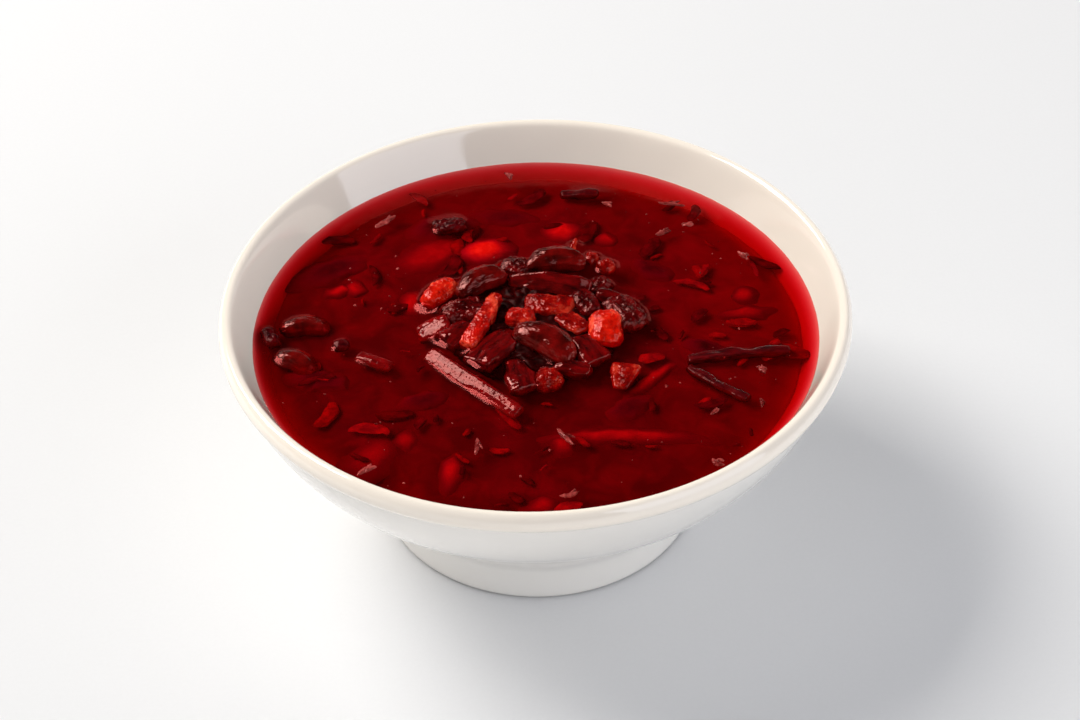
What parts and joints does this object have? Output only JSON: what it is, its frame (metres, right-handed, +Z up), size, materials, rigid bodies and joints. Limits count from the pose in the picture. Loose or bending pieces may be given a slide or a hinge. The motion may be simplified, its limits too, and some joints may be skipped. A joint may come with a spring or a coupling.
{
  "type": "bowl of borscht",
  "caption": "Wide white footed soup bowl filled with beetroot soup, with beans, carrot and beet pieces heaped in the middle.",
  "frame": {"origin": "centre of the foot ring's resting plane", "axes": "+Z up along the bowl's axis, -Y towards the eater's side, +X to the eater's right"},
  "size_m": [0.17, 0.17, 0.0704],
  "materials": {
    "glaze": "gloss",
    "soup": "wet gloss",
    "bean": "wet gloss",
    "carrot": "wet gloss",
    "beet": "wet gloss"
  },
  "bodies": {
    "root": {"bowl": "glaze", "kidney_bean_1": "bean", "kidney_bean_2": "bean", "kidney_bean_3": "bean", "kidney_bean_4": "bean", "kidney_bean_5": "bean", "carrot_1": "carrot", "carrot_2": "carrot", "carrot_3": "carrot", "carrot_4": "carrot", "carrot_5": "carrot", "carrot_6": "carrot", "carrot_7": "carrot", "carrot_8": "carrot", "carrot_9": "carrot", "carrot_10": "carrot", "carrot_11": "carrot", "beet_slice_1": "beet", "beet_slice_2": "beet", "beet_slice_3": "beet", "beet_slice_4": "beet", "beet_1": "beet", "beet_2": "beet", "beet_3": "beet", "beet_4": "beet", "beet_5": "beet", "beet_6": "beet", "beet_7": "beet", "beet_8": "beet", "beet_9": "beet", "beet_10": "beet", "beet_11": "beet", "beet_12": "beet", "beet_13": "beet", "beet_strip_1": "beet", "beet_strip_2": "beet", "beet_strip_3": "beet", "beet_strip_4": "beet", "grated_beet": "beet", "soup": "soup"}
  },
  "joints": []
}
